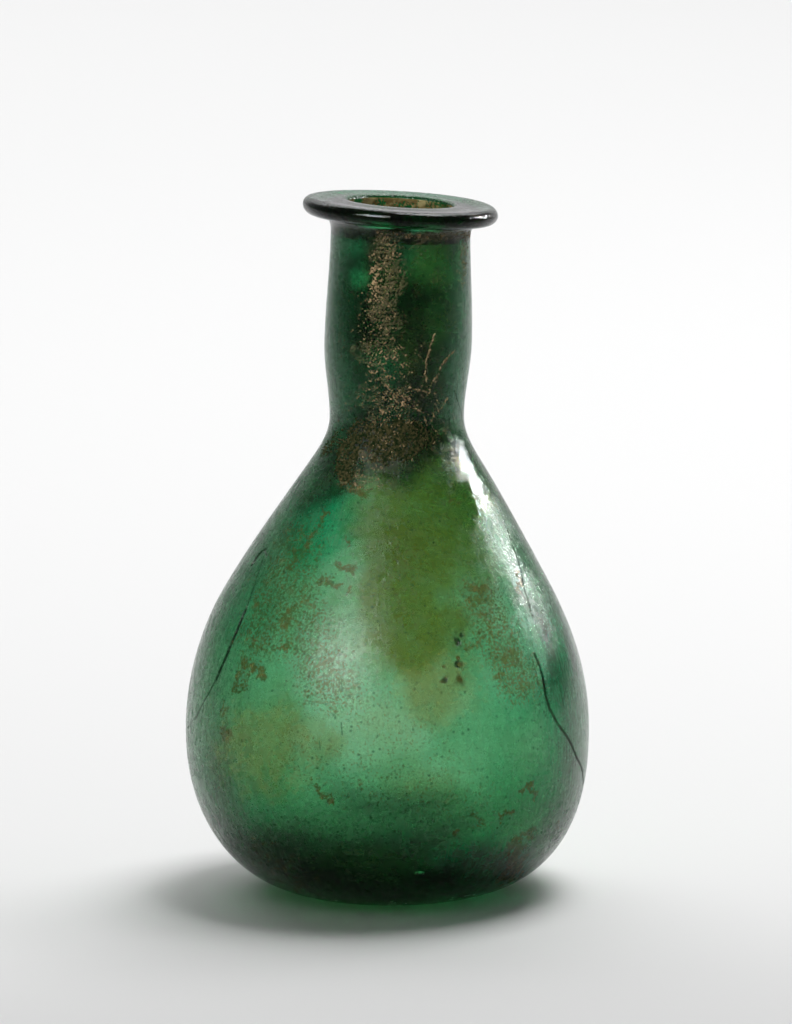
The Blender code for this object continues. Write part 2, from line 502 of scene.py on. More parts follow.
def outer_wall(share=1.0):
    """The outside from the foot's edge up to the fillet under the rim, cut at a share of the full steps."""
    belly = (BELLY_HEIGHT, BELLY_RADIUS, 0.0)
    shoulder = (SHOULDER_HEIGHT, SHOULDER_RADIUS, SHOULDER_SLOPE)
    cone = (CONE_HEIGHT, CONE_RADIUS, CONE_SLOPE)
    root = (NECK_ROOT_HEIGHT, NECK_ROOT_RADIUS, 0.0)
    swell = (NECK_SWELL_HEIGHT, NECK_SWELL_RADIUS, 0.0)
    top = (neck_top_height(), NECK_TOP_RADIUS, 0.0)
    points = heel(FOOT_RADIUS, BELLY_RADIUS, 0.0, BELLY_HEIGHT, round(HEEL_STEPS * share))
    points += hermite(belly, shoulder, round(SHOULDER_STEPS * share))
    points += hermite(shoulder, cone, round(CONE_STEPS * share))
    points += hermite(cone, root, round(FILLET_STEPS * share))
    points += hermite(root, swell, round(NECK_STEPS * share))
    points += hermite(swell, top, round(NECK_STEPS * share))
    return points


def wall_at(height):
    """Wall thickness, which eases from the body's to the neck's over the cone."""
    share = (height - SHOULDER_HEIGHT) / (NECK_ROOT_HEIGHT - SHOULDER_HEIGHT)
    share = min(max(share, 0.0), 1.0)
    return BODY_WALL + (NECK_WALL - BODY_WALL) * share


def inner_wall():
    """The inside from its floor's edge up to where the rim's fold turns in, a wall inside the outer wall."""
    outside = [Vector(point) for point in outer_wall(INSIDE_SHARE)]
    heel_steps = round(HEEL_STEPS * INSIDE_SHARE)
    fold_height = HEIGHT - FOLD_DEPTH
    points = heel(
        FOOT_RADIUS - FLOOR_SETBACK,
        BELLY_RADIUS - BODY_WALL,
        BASE_THICKNESS,
        BELLY_HEIGHT,
        heel_steps,
    )
    for index in range(heel_steps + 1, len(outside) - 1):
        along = (outside[index + 1] - outside[index - 1]).normalized()
        inward = Vector((-along.y, along.x))
        inside = outside[index] + inward * wall_at(outside[index].y)
        if inside.y < fold_height:
            points.append(tuple(inside))
    points.append((NECK_TOP_RADIUS - NECK_WALL, fold_height))
    return points


def rim():
    """From the mouth's edge over the dished top, round the disc's edge and back under it to the neck."""
    half = RIM_THICKNESS / 2
    mouth_edge = arc(
        (MOUTH_RADIUS + LIP_ROUND, HEIGHT - LIP_ROUND), LIP_ROUND, math.pi, math.pi / 2, LIP_STEPS
    )
    disc_edge = arc(
        (RIM_RADIUS - half, HEIGHT - half), half, math.pi / 2, -math.pi / 2, ROUND_STEPS
    )
    start, end = mouth_edge[-1][0], disc_edge[0][0]
    top = []
    for step in range(1, FLAT_STEPS):
        share = step / FLAT_STEPS
        top.append((start + (end - start) * share, HEIGHT - RIM_DISH * math.sin(math.pi * share) ** 2))
    under = arc(
        (NECK_TOP_RADIUS + RIM_FILLET, neck_top_height()), RIM_FILLET, math.pi / 2, math.pi, LIP_STEPS
    )
    return mouth_edge + top + disc_edge + under


def hollow(edge_radius, edge_height, steps):
    """Shallow dome over the underside's hollow, from its edge in to the axis."""
    points = []
    for step in range(1, steps + 1):
        share = 1 - step / steps
        points.append((edge_radius * share, edge_height + KICK_DEPTH * (1 - share**2)))
    return points


def hand_blown(points):
    """Where the glassblower's hand left an array of turned points. The rim slants as one."""
    x, y, z = points.T
    shift = FOOT_SHIFT * (1 - smooth_step(0.0, BELLY_HEIGHT, z))
    shift = shift + LEAN_SHIFT * smooth_step(LEAN_START_HEIGHT, NECK_ROOT_HEIGHT, z)
    shift = shift + NECK_LEAN * smooth_step(NECK_ROOT_HEIGHT, neck_top_height(), z)
    slant = math.tan(RIM_TILT) * smooth_step(NECK_SWELL_HEIGHT, neck_top_height(), z)
    return np.column_stack((x + shift, y * OVAL, z - x * slant))


def turned(radii, heights, columns):
    """Rings of points of the given radii and heights, as rows of so many columns."""
    turn = np.arange(columns) * 2 * math.pi / columns
    radius, height = radii[:, None], heights[:, None]
    return np.stack((radius * np.cos(turn), radius * np.sin(turn), height + 0 * turn), axis=-1)


def net(rows, columns, first):
    """A net's point numbers from the first on, each one's neighbour in its ring, and the net's triangles."""
    number = first + np.arange(rows * columns).reshape(rows, columns)
    after = np.roll(number, -1, axis=1)
    a, b, c, d = number[:-1].ravel(), after[:-1].ravel(), after[1:].ravel(), number[1:].ravel()
    return number, after, np.concatenate((np.column_stack((a, b, c)), np.column_stack((a, c, d))))


def turned_glass():
    """The whole glass as points, triangles and, for each point, 1 on the inside or 0 on the outside."""
    inside = inner_wall()
    floor = hollow(inside[0][0], inside[0][1], KICK_STEPS)[::-1]
    ring_inner = FOOT_RADIUS - FOOT_RING_WIDTH
    underside = [(ring_inner, 0.0)] + hollow(ring_inner, 0.0, KICK_STEPS)
    section = np.array(floor + inside + rim() + outer_wall()[-2::-1] + underside)
    rings = turned(section[1:-1, 0], section[1:-1, 1], SEGMENTS)
    points = np.concatenate(([(0, 0, section[0, 1])], rings.reshape(-1, 3), [(0, 0, section[-1, 1])]))
    number, after, walls = net(len(rings), SEGMENTS, 1)
    first, last = np.zeros(SEGMENTS, int), np.full(SEGMENTS, len(points) - 1)
    triangles = np.concatenate((
        np.column_stack((first, after[0], number[0])),
        walls,
        np.column_stack((last, number[-1], after[-1])),
    ))
    inner = np.zeros(len(points))
    inner[: 1 + SEGMENTS * (len(floor) + len(inside) - 1)] = 1.0
    points = hand_blown(points)
    corners = points[triangles]
    volume = np.einsum("ij,ij->", corners[:, 0], np.cross(corners[:, 1], corners[:, 2]))
    return points, triangles if volume > 0 else triangles[:, ::-1], inner


def path_points(path, spacing):
    """Points along a path, no further apart than the spacing."""
    points = []
    for start, end in zip(path, path[1:]):
        steps = max(1, math.ceil((end - start).length / spacing))
        points += [start.lerp(end, step / steps) for step in range(steps)]
    return points + [path[-1]]


def near(points, spots):
    """The distance from each of an array of points to the nearest of the spots."""
    tree = KDTree(len(spots))
    for index, spot in enumerate(spots):
        tree.insert(spot, index)
    tree.balance()
    return np.array([tree.find(point)[2] for point in points])


def rolled(rows_of_three, first):
    """The three columns of some rows, in the same order round but starting at the given ones."""
    rows = np.arange(len(rows_of_three))
    return [rows_of_three[rows, (first + step) % 3] for step in range(3)]


def split(triangles, middles):
    """Triangles cut at the middles of their sides, where these have one, which is -1 where they don't."""
    cut = middles >= 0
    count = cut.sum(axis=1)
    one, two, three = count == 1, count == 2, count == 3
    # Corners a b c where side ab is cut, d e f where ef and fd are, and g h i where all three are
    a, b, c = rolled(triangles[one], cut[one].argmax(axis=1))
    ab = rolled(middles[one], cut[one].argmax(axis=1))[0]
    d, e, f = rolled(triangles[two], cut[two].argmin(axis=1))
    _, ef, fd = rolled(middles[two], cut[two].argmin(axis=1))
    g, h, i = triangles[three].T
    gh, hi, ig = middles[three].T
    corners = [
        (a, ab, c), (ab, b, c),
        (ef, f, fd), (d, e, ef), (d, ef, fd),
        (g, gh, ig), (h, hi, gh), (i, ig, hi), (gh, hi, ig),
    ]
    return np.concatenate([triangles[count == 0]] + [np.column_stack(corner) for corner in corners])


def sides_of(triangles):
    """The sides of each triangle, as pairs of points: all first sides, then all second and all third."""
    return np.concatenate((triangles[:, (0, 1)], triangles[:, (1, 2)], triangles[:, (2, 0)]))


def refine(points, triangles, inner, spots, fine_edge, reach):
    """The glass cut down to fine edges within reach of the spots, for what is narrower than its faces."""
    for _ in range(FINE_PASSES):
        edges, which = np.unique(np.sort(sides_of(triangles), axis=1), axis=0, return_inverse=True)
        start, end = points[edges[:, 0]], points[edges[:, 1]]
        length = np.linalg.norm(end - start, axis=1)
        long = (length > fine_edge) & (start[:, 1] <= 0) & (start[:, 2] <= FINE_TOP)
        distance = np.full(len(edges), np.inf)
        distance[long] = near((start[long] + end[long]) / 2, spots)
        cut = distance < reach + length / 2
        if not cut.any():
            break
        number = np.full(len(edges), -1)
        number[cut] = len(points) + np.arange(cut.sum())
        points = np.concatenate((points, (start[cut] + end[cut]) / 2))
        inner = np.concatenate((inner, inner[edges[cut, 0]]))
        triangles = split(triangles, number[which.ravel()].reshape(3, -1).T)
    return points, triangles, inner


def crack_paths(surface):
    """Each crack as its points on the glass, width and depth."""
    return [
        ([on_glass(surface, x, y) for x, y in pixels], width, depth)
        for pixels, width, depth in CRACKS
    ]


def worn(points, inner, cracks, pits):
    """How far each point of the glass moves along its normal, and how full of soil it is."""
    outer = 1 - inner
    wave = ripples(points, WAVE_LENGTH, 3)
    fine = ripples(points, WAVE_LENGTH / 3, 4)
    lift = -outer * (OUTER_SETBACK + OUTER_WAVE * (0.5 + 0.25 * np.clip(wave, -2, 2)))
    lift += inner * INNER_WAVE * (ripples(points, WAVE_LENGTH, 5) + 0.25 * fine)
    x, y = photo_pixels(points)
    front = smooth_step(0.004, -0.004, points[:, 1])
    lift -= inner * front * THINNING * patches(x, y, THIN_PATCHES, 6 * ripples(points, 0.008, 7))
    fill = np.zeros(len(points))
    for path, width, depth in cracks:
        distance = near(points, path_points(path, FINE_EDGE))
        groove = outer * np.clip(1 - distance / width, 0, 1)
        lift -= depth * groove
        fill = np.maximum(fill, outer * smooth_step(1.6 * width, 0.4 * width, distance))
    for place, radius, depth in pits:
        distance = np.linalg.norm(points - np.array(place), axis=1)
        distance = distance * (1 + 0.25 * ripples(points, 2 * radius, 6))
        bowl = outer * np.sqrt(np.clip(1 - (distance / radius) ** 2, 0, 1))
        lift -= depth * bowl
        fill = np.maximum(fill, outer * smooth_step(1.25 * radius, 0.7 * radius, distance))
    return lift, fill


def scattered_bubbles():
    """Small round bubbles at random in the body's wall, as place, normal and half sizes."""
    random = np.random.default_rng(51)
    outline = np.array(outer_wall())
    found = []
    for _ in range(SCATTERED_BUBBLES):
        height, turn = random.uniform(0.004, 0.050), random.uniform(0, 2 * math.pi)
        depth, size = random.uniform(0.0004, 0.0010), random.uniform(0.00006, 0.00015)
        radius = np.interp(height, outline[:, 1], outline[:, 0]) - depth
        out = Vector((math.cos(turn), math.sin(turn), 0.0))
        place = hand_blown(np.array([(radius * out.x, radius * out.y, height)]))[0]
        found.append((Vector(place), out, (size, size, size)))
    return found


def add_bubbles(mesh, surface):
    """Closed hollows in the glass, whose faces look into the air they hold."""
    bubbles = scattered_bubbles()
    for x, y, width, height, thickness, depth in BUBBLES:
        place = on_glass(surface, x, y)
        normal = surface.find_nearest(place)[1]
        bubbles.append((place - normal * depth, normal, (width, height, thickness)))
    shape = bmesh.new()
    shape.from_mesh(mesh)
    for place, out, sizes in bubbles:
        turn = out.to_track_quat("Z", "Y").to_matrix().to_4x4()
        matrix = Matrix.Translation(place) @ turn @ Matrix.Diagonal((*sizes, 1.0))
        ball = bmesh.ops.create_icosphere(shape, subdivisions=2, radius=1.0, matrix=matrix)
        faces = {face for vertex in ball["verts"] for face in vertex.link_faces}
        bmesh.ops.reverse_faces(shape, faces=list(faces))
    shape.to_mesh(mesh)
    shape.free()


def placed(name, data):
    """A new object in the scene."""
    piece = bpy.data.objects.new(name, data)
    bpy.context.scene.collection.objects.link(piece)
    return piece


def glass_piece():
    """The glass as an object, with what its material needs on each vertex."""
    points, triangles, inner = turned_glass()
    smooth = BVHTree.FromPolygons(points.tolist(), triangles.tolist())
    cracks = crack_paths(smooth)
    pits = [(on_glass(smooth, x, y), radius, depth) for x, y, radius, depth in PITS]
    stained = [on_glass(smooth, *spot) for stroke in BODY_STROKES for spot in stroke_spots(stroke)]
    points, triangles, inner = refine(points, triangles, inner, stained, STAIN_EDGE, STAIN_REACH)
    spots = [point for path, _, _ in cracks for point in path_points(path, FINE_EDGE * 2)]
    spots += [place for place, _, _ in pits]
    points, triangles, inner = refine(points, triangles, inner, spots, FINE_EDGE, FINE_REACH)
    mesh = bpy.data.meshes.new("blown_glass")
    mesh.from_pydata(points.tolist(), [], triangles.tolist())
    normals = np.empty(3 * len(points), np.float32)
    mesh.vertex_normals.foreach_get("vector", normals)
    lift, fill = worn(points, inner, cracks, pits)
    moved = points + normals.reshape(-1, 3) * lift[:, None]
    mesh.vertices.foreach_set("co", moved.astype(np.float32).ravel())
    store(mesh, "fill", fill)
    x, y = photo_pixels(points)
    front = smooth_step(0.004, -0.004, points[:, 1])
    store(mesh, "film", olive_film(points, x, y, front))
    store(mesh, "soil_and_shade", dark_soil_and_shade(points, x, y, front, inner))
    store(mesh, "stain", (1 - inner) * stains(points, x, y))
    store(mesh, "deep_and_shade", deep_glass_and_shade(points, x, y, front, inner))
    polish = front * patches(x, y, POLISHED_PATCHES, 10 * ripples(points, 0.007, 16))
    store(mesh, "polish", (1 - inner) * polish)
    store(mesh, "dull", (1 - inner) * front * patches(x, y, DULL_PATCHES, 6 * ripples(points, 0.004, 17)))
    add_bubbles(mesh, smooth)
    mesh.shade_smooth()
    return placed("blown_glass", mesh)


def store(mesh, name, values):
    """Keeps one number for each vertex of the mesh."""
    attribute = mesh.attributes.new(name, "FLOAT", "POINT")
    attribute.data.foreach_set("value", values.astype(np.float32))


def patches(x, y, spots, drift, rim=1.35, core=0.45):
    """The most that any of the spots leaves at each pixel of the photograph. It fades from core to rim."""
    amount = np.zeros(len(x))
    for cx, cy, rx, ry, most in spots:
        distance = np.hypot((x - cx) / rx, (y - cy) / ry) + drift / max(rx, ry)
        amount = np.maximum(amount, most * smooth_step(rim, core, distance))
    return amount


def loose_patches(points, seed):
    """Soft-edged patches here and there over the whole flask, from 0 to 1."""
    return smooth_step(0.4, 1.1, ripples(points, 0.02, seed))


def olive_film(points, x, y, front):
    """The thin olive film on both faces of the glass, from 0 to 1."""
    drift = 10 * ripples(points, 0.009, 11) + 4 * ripples(points, 0.003, 19)
    drawn = patches(x, y, FILM_PATCHES, drift, 1.25, 0.64)
    return drawn * front + 0.4 * loose_patches(points, 12) * (1 - front)


def deep_glass_and_shade(points, x, y, front, inner):
    """Where the green is deeper, from 0 to 1: in thick places of the body, over the neck and in the rim. It
    is partly painted shade, on the body's upper left, edges and base and over the neck and rim.
    """
    body = front * patches(x, y, DEEP_AND_SHADED_PATCHES, 14 * ripples(points, 0.012, 13))
    neck = smooth_step(0.058, 0.063, points[:, 2])
    return np.maximum(body, (0.85 - 0.35 * inner) * neck)


def wandered(points, x, y, pixels, length):
    """Pixels moved about a little, for ragged edges: how far, and over what length on the glass."""
    across = ripples(points, length, 71) + 0.5 * ripples(points, 0.4 * length, 72)
    up = ripples(points, length, 73) + 0.5 * ripples(points, 0.4 * length, 74)
    return x + pixels * across, y + pixels * up


def dark_soil_and_shade(points, x, y, front, inner):
    """Dark soil and painted shade, from 0 to 1: soil inside the neck down to a slanted edge, painted shade
    just above that edge, soil and painted shade on the floor, at the body's edges and at the neck's root,
    and painted shade over the dark folded rim.
    """
    drift = 6 * ripples(points, 0.006, 14)
    edge = NECK_SOIL_AND_SHADE_EDGE[1] + (x - NECK_SOIL_AND_SHADE_EDGE[0]) * NECK_SOIL_AND_SHADE_SLANT + drift
    neck = smooth_step(edge + 10, edge - 6, y) * front
    neck = neck + smooth_step(0.050, 0.054, points[:, 2]) * (1 - front)
    windows = patches(x, y, NECK_WINDOWS, drift / 3)
    windows = np.maximum(windows, 0.8 * smooth_step(1.2, 1.7, ripples(points, 0.008, 15)) * (1 - front))
    # On the inside floor and the body's edges, soil with painted shade; round the back, darker towards the
    # bottom
    floor = patches(x, y, BASE_SOIL_AND_SHADE + EDGE_SOIL_AND_SHADE, drift) * front
    floor = floor + 0.7 * smooth_step(0.0070, 0.0040, points[:, 2]) * (1 - front)
    patchy = 0.93 + 0.07 * smooth_step(-0.8, 0.6, ripples(points, 0.005, 18))
    # Painted shade: the folded rim darkened
    outer = 0.55 * smooth_step(0.0848, 0.0862, points[:, 2])
    outer = np.maximum(outer, 0.65 * patches(x, y, DARK_SOIL_AND_SHADE_PATCHES, drift) * front)
    return np.where(inner > 0.5, np.maximum(neck * patchy * (1 - windows), floor), outer)


def stains(points, x, y):
    """How strongly the outside is stained brown in flecks, from 0 to 1."""
    front = smooth_step(0.006, 0.0, points[:, 1])
    loose = 0.75 * smooth_step(0.9, 2.0, ripples(points, 0.014, 23))
    drawn = 1.15 * stroke_soil(*wandered(points, x, y, 2.5, 0.0022), BODY_STROKES)
    return np.clip(np.maximum(drawn * front, loose * (1 - 0.85 * front)), 0, 1)


def stroke_spots(stroke):
    """Pixels of the photograph along a narrow stroke, or none for a broad one."""
    x0, y0, x1, y1, width, _ = stroke
    if width > 10:
        return []
    steps = max(1, round(math.hypot(x1 - x0, y1 - y0) / 6))
    return [(x0 + (x1 - x0) * step / steps, y0 + (y1 - y0) * step / steps) for step in range(steps + 1)]


def stroke_soil(x, y, strokes):
    """How much soil the strokes leave at each pixel of the photograph."""
    soil = np.zeros(len(x))
    for x0, y0, x1, y1, width, amount in strokes:
        dx, dy = x1 - x0, y1 - y0
        along = np.clip(((x - x0) * dx + (y - y0) * dy) / max(dx * dx + dy * dy, 1.0), 0, 1)
        distance = np.hypot(x - x0 - along * dx, y - y0 - along * dy)
        soil = np.maximum(soil, amount * smooth_step(1.75 * width, 0.3 * width, distance))
    return soil


def crust_of(points, strokes, drift, grain, seed):
    """Above 0 where soil is caked on the outside: in the strokes, and in small flecks all over."""
    x, y = wandered(points, *photo_pixels(points), drift, 0.0022)
    front = smooth_step(0.006, 0.0, points[:, 1])
    soil = np.zeros(len(points))
    seen = front > 0
    soil[seen] = stroke_soil(x[seen], y[seen], strokes) * front[seen]
    neck = smooth_step(0.054, 0.064, points[:, 2])
    loose = smooth_step(0.8, 2.2, ripples(points, 0.016, seed)) * (0.3 + 0.4 * neck)
    soil = np.maximum(soil, loose * (1 - 0.8 * front))
    value = np.full(len(points), -1.0)
    some = soil > FAINTEST
    near_points = points[some]
    fine = 0.85 * ripples(near_points, grain, seed + 1, 40)
    fine += 0.45 * ripples(near_points, 3 * grain, seed + 2, 40)
    value[some] = fine - (FLECK_LEVEL - SOIL_REACH * soil[some])
    return value


def bloom_of(points, zones, grain, seed):
    """Above 0 where the glass has a fine bloom of the kind that the zones of the photograph show."""
    x, y = photo_pixels(points)
    front = smooth_step(0.006, 0.0, points[:, 1])
    amount = patches(x, y, zones, 5 * ripples(points, 0.004, seed)) * front
    amount = np.maximum(amount, 0.5 * loose_patches(points, seed + 1) * (1 - front))
    value = np.full(len(points), -1.0)
    some = amount > FAINTEST
    near_points = points[some]
    fine = 0.9 * ripples(near_points, grain, seed + 2, 30) + 0.3 * ripples(near_points, 4 * grain, seed + 3)
    value[some] = fine - BLOOM_LEVEL + BLOOM_REACH * amount[some]
    return value


def neck_crust(points):
    """Above 0 where the neck has tan crust and thin brown lines."""
    return crust_of(points, NECK_STROKES, 0.6, 0.00030, 21)


def body_soil(points):
    """Above 0 where the body has brown flecks."""
    return crust_of(points, BODY_STROKES, 2.0, 0.00050, 25)


def neck_bloom(points):
    """Above 0 where the neck has brown bloom."""
    return bloom_of(points, BROWN_PATCHES, 0.00042, 41)


def neck_root_soil_and_shade(points):
    """Above 0 where dark soil and painted shade lie at the neck's root."""
    return bloom_of(points, DARK_SOIL_AND_SHADE_PATCHES, 0.00038, 46)


def olive_bloom(points):
    """Above 0 where the body has olive bloom."""
    return bloom_of(points, OLIVE_PATCHES, 0.00066, 31)


def mouth_soil(points):
    """Above 0 where soil lines the mouth."""
    return 0.8 * ripples(points, 0.00035, 61, 30) + 0.8 * ripples(points, 0.003, 62) + 0.7


def wall_to_the_rim():
    """The outside from the foot's edge up to the rim's underside."""
    centre = (NECK_TOP_RADIUS + RIM_FILLET, neck_top_height())
    return outer_wall() + arc(centre, RIM_FILLET, math.pi, math.pi / 2, LIP_STEPS)[1:]


def mouth_wall():
    """The inside's last stretch, from below the fold up round the mouth's lip."""
    return inner_wall()[-4:] + rim()[: LIP_STEPS // 2 + 1]


def turned_grid(outline, low, high, cell):
    """An outline turned between two heights, as points on a grid of cells and its triangles."""
    outline = np.array(outline)
    along = np.concatenate(([0.0], np.cumsum(np.linalg.norm(np.diff(outline, axis=0), axis=1))))
    start, end = np.interp((low, high), outline[:, 1], along)
    rows = np.arange(start, end, cell)
    radii = np.interp(rows, along, outline[:, 0])
    heights = np.interp(rows, along, outline[:, 1])
    columns = round(2 * math.pi * radii.max() / cell)
    points = turned(radii, heights, columns).reshape(-1, 3)
    return hand_blown(points), net(len(rows), columns, 0)[2]


def clipped(points, values, triangles):
    """The part of a net of triangles whose values are above 0, as points, values and triangles."""
    above = values[triangles] > 0
    count = above.sum(axis=1)
    a, b, c = rolled(triangles[count == 1], above[count == 1].argmax(axis=1))
    d, e, f = rolled(triangles[count == 2], above[count == 2].argmin(axis=1))
    pairs = np.concatenate([np.column_stack(pair) for pair in ((a, b), (a, c), (d, e), (d, f))])
    cuts, which = np.unique(np.sort(pairs, axis=1), axis=0, return_inverse=True)
    which = which.ravel() + len(points)
    ab, ac, de, df = np.split(which, np.cumsum((len(a), len(a), len(d))))
    low, high = values[cuts[:, 0]], values[cuts[:, 1]]
    share = (low / (low - high))[:, None]
    cut_points = points[cuts[:, 0]] * (1 - share) + points[cuts[:, 1]] * share
    kept = np.concatenate((
        triangles[count == 3],
        np.column_stack((a, ab, ac)),
        np.column_stack((e, f, df)),
        np.column_stack((e, df, de)),
    ))
    used, kept = np.unique(kept.ravel(), return_inverse=True)
    all_points = np.concatenate((points, cut_points))
    all_values = np.concatenate((values, np.zeros(len(cuts))))
    return all_points[used], all_values[used], kept.reshape(-1, 3)


def slabs(points, values, triangles, surface):
    """Closed slabs that follow the surface, thin at their edges, as points and faces."""
    found = [surface.find_nearest(point)[:2] for point in points]
    places = np.array([place for place, _ in found])
    normals = np.array([normal for _, normal in found])
    rise = CRUST_EDGE + (CRUST_HEIGHT - CRUST_EDGE) * np.clip(values / CRUST_FULL, 0, 1)
    top = places + rise[:, None] * normals
    under = places - CRUST_DEPTH * normals
    known = set(map(tuple, sides_of(triangles).tolist()))
    edges = [(start, end) for start, end in known if (end, start) not in known]
    count = len(points)
    faces = triangles.tolist() + (triangles[:, ::-1] + count).tolist()
    faces += [(end, start, start + count, end + count) for start, end in edges]
    return np.concatenate((top, under)), faces


def caked_piece(name, surface, outline, band, soil_of):
    """One piece of thin slabs on the glass, along an outline's band, where the soil's value is above 0."""
    grid, triangles = turned_grid(outline, *band)
    points, faces = slabs(*clipped(grid, soil_of(grid), triangles), surface)
    mesh = bpy.data.meshes.new(name)
    mesh.from_pydata(points.tolist(), [], faces)
    mesh.shade_smooth()
    mesh.set_sharp_from_angle(angle=SHARP_ANGLE)
    return placed(name, mesh)


def finished_surface(glass):
    """The finished glass, for finding its nearest points."""
    return BVHTree.FromPolygons(
        [vertex.co for vertex in glass.data.vertices], [face.vertices for face in glass.data.polygons]
    )


def made(tree, kind, **inputs):
    """A new node with plain values on its inputs."""
    node = tree.nodes.new(kind)
    for name, value in inputs.items():
        node.inputs[name.replace("_", " ")].default_value = value
    return node


def noise(tree, place, scale, detail=3.0, rough=0.55):
    """Noise from 0 to 1 at a place."""
    node = made(tree, "ShaderNodeTexNoise", Scale=scale, Detail=detail, Roughness=rough)
    tree.links.new(place, node.inputs["Vector"])
    return node.outputs["Fac"]


def specks(tree, place, scale):
    """The distance to the nearest of many scattered specks."""
    node = made(tree, "ShaderNodeTexVoronoi", Scale=scale)
    tree.links.new(place, node.inputs["Vector"])
    return node.outputs["Distance"]


def axes_of(tree, place):
    """A place taken apart into its X, Y and Z."""
    node = tree.nodes.new("ShaderNodeSeparateXYZ")
    tree.links.new(place, node.inputs["Vector"])
    return node.outputs


def round_and_up(tree, place, around, above):
    """A place as its direction round the flask and its height, for streaks that run up the glass."""
    axes = axes_of(tree, place)
    flat = tree.nodes.new("ShaderNodeCombineXYZ")
    tree.links.new(axes["X"], flat.inputs["X"])
    tree.links.new(axes["Y"], flat.inputs["Y"])
    unit = tree.nodes.new("ShaderNodeVectorMath")
    unit.operation = "NORMALIZE"
    tree.links.new(flat.outputs["Vector"], unit.inputs[0])
    wide = tree.nodes.new("ShaderNodeVectorMath")
    wide.operation = "SCALE"
    wide.inputs["Scale"].default_value = around
    tree.links.new(unit.outputs["Vector"], wide.inputs[0])
    high = tree.nodes.new("ShaderNodeCombineXYZ")
    tree.links.new(sums(tree, "MULTIPLY", axes["Z"], above), high.inputs["Z"])
    both = tree.nodes.new("ShaderNodeVectorMath")
    both.operation = "ADD"
    tree.links.new(wide.outputs["Vector"], both.inputs[0])
    tree.links.new(high.outputs["Vector"], both.inputs[1])
    return both.outputs["Vector"]


def ranged(tree, value, low, high, to_low=0.0, to_high=1.0):
    """A value eased from one range to another."""
    node = tree.nodes.new("ShaderNodeMapRange")
    node.interpolation_type = "SMOOTHSTEP"
    for name, number in (("From Min", low), ("From Max", high), ("To Min", to_low), ("To Max", to_high)):
        node.inputs[name].default_value = number
    tree.links.new(value, node.inputs["Value"])
    return node.outputs["Result"]


def attribute(tree, name):
    """What the mesh holds under a name."""
    node = tree.nodes.new("ShaderNodeAttribute")
    node.attribute_name = name
    return node.outputs["Fac"]


def sums(tree, kind, first, second):
    """Two values put together by a kind of sum."""
    node = tree.nodes.new("ShaderNodeMath")
    node.operation = kind
    for socket, value in zip(node.inputs, (first, second)):
        if isinstance(value, float):
            socket.default_value = value
        else:
            tree.links.new(value, socket)
    return node.outputs["Value"]


def blended(tree, share, first, second):
    """A colour between two colours."""
    node = tree.nodes.new("ShaderNodeMix")
    node.data_type = "RGBA"
    tree.links.new(share, node.inputs["Factor"])
    sockets = [s for s in node.inputs if s.type == "RGBA"]
    for socket, colour in zip(sockets, (first, second)):
        if isinstance(colour, tuple):
            socket.default_value = (*colour, 1.0)
        else:
            tree.links.new(colour, socket)
    return [s for s in node.outputs if s.type == "RGBA"][0]


def blended_number(tree, share, first, second):
    """A number between two numbers."""
    node = tree.nodes.new("ShaderNodeMix")
    tree.links.new(share, node.inputs["Factor"])
    for socket, number in zip(node.inputs[2:4], (first, second)):
        if isinstance(number, float):
            socket.default_value = number
        else:
            tree.links.new(number, socket)
    return node.outputs["Result"]



def new_material(name):
    """A material, its node tree and its shader."""
    material = bpy.data.materials.new(name)
    material.use_nodes = True
    tree = material.node_tree
    return material, tree, tree.nodes["Principled BSDF"]


def glass_colour(tree, place, streaks):
    """Clear glass under its film, with dark soil, stains, specks and soil over it in turn. The deeper green
    and the dark soil are partly painted shade.
    """
    clouds = ranged(tree, noise(tree, place, 1100.0, 6.0, 0.7), 0.42, 0.66)
    colour = blended(tree, clouds, CLEAR, CLOUDED)
    # Deeper green, partly painted shade, streaked up the wall
    streaky = sums(tree, "MULTIPLY", attribute(tree, "deep_and_shade"), ranged(tree, streaks, 0.38, 0.60, 0.70, 1.0))
    colour = blended(tree, streaky, colour, DEEP_GREEN_AND_SHADE)
    mottling = ranged(tree, noise(tree, place, 420.0, 5.0), 0.30, 0.62, 0.86, 1.0)
    colour = blended(tree, sums(tree, "MULTIPLY", attribute(tree, "film"), mottling), colour, FILM)
    caked = ranged(tree, noise(tree, place, 220.0, 6.0), 0.44, 0.58)
    # Dark soil, partly painted shade at the base, the body's edges, the neck's root and the rim
    colour = blended(tree, attribute(tree, "soil_and_shade"), colour, blended(tree, caked, DIRT_AND_SHADE, CAKED))
    grain = noise(tree, place, 3200.0, 5.0, 0.65)
    stained = sums(tree, "ADD", sums(tree, "MULTIPLY", attribute(tree, "stain"), 0.36), grain)
    colour = blended(tree, ranged(tree, stained, 0.70, 0.84), colour, STAIN)
    seeds = ranged(tree, specks(tree, place, 700.0), 0.09, 0.15, 0.8, 0.0)
    colour = blended(tree, seeds, colour, SOIL)
    return blended(tree, attribute(tree, "fill"), colour, SOIL)


def glass_roughness(tree, place, polish):
    """Dull with age, smoother where it is polished and rougher in the dull places."""
    rough = ranged(tree, noise(tree, place, 700.0, 6.0, 0.65), 0.36, 0.66, 0.14, 0.34)
    rough = blended_number(tree, polish, rough, 0.07)
    return blended_number(tree, attribute(tree, "dull"), rough, 0.6)


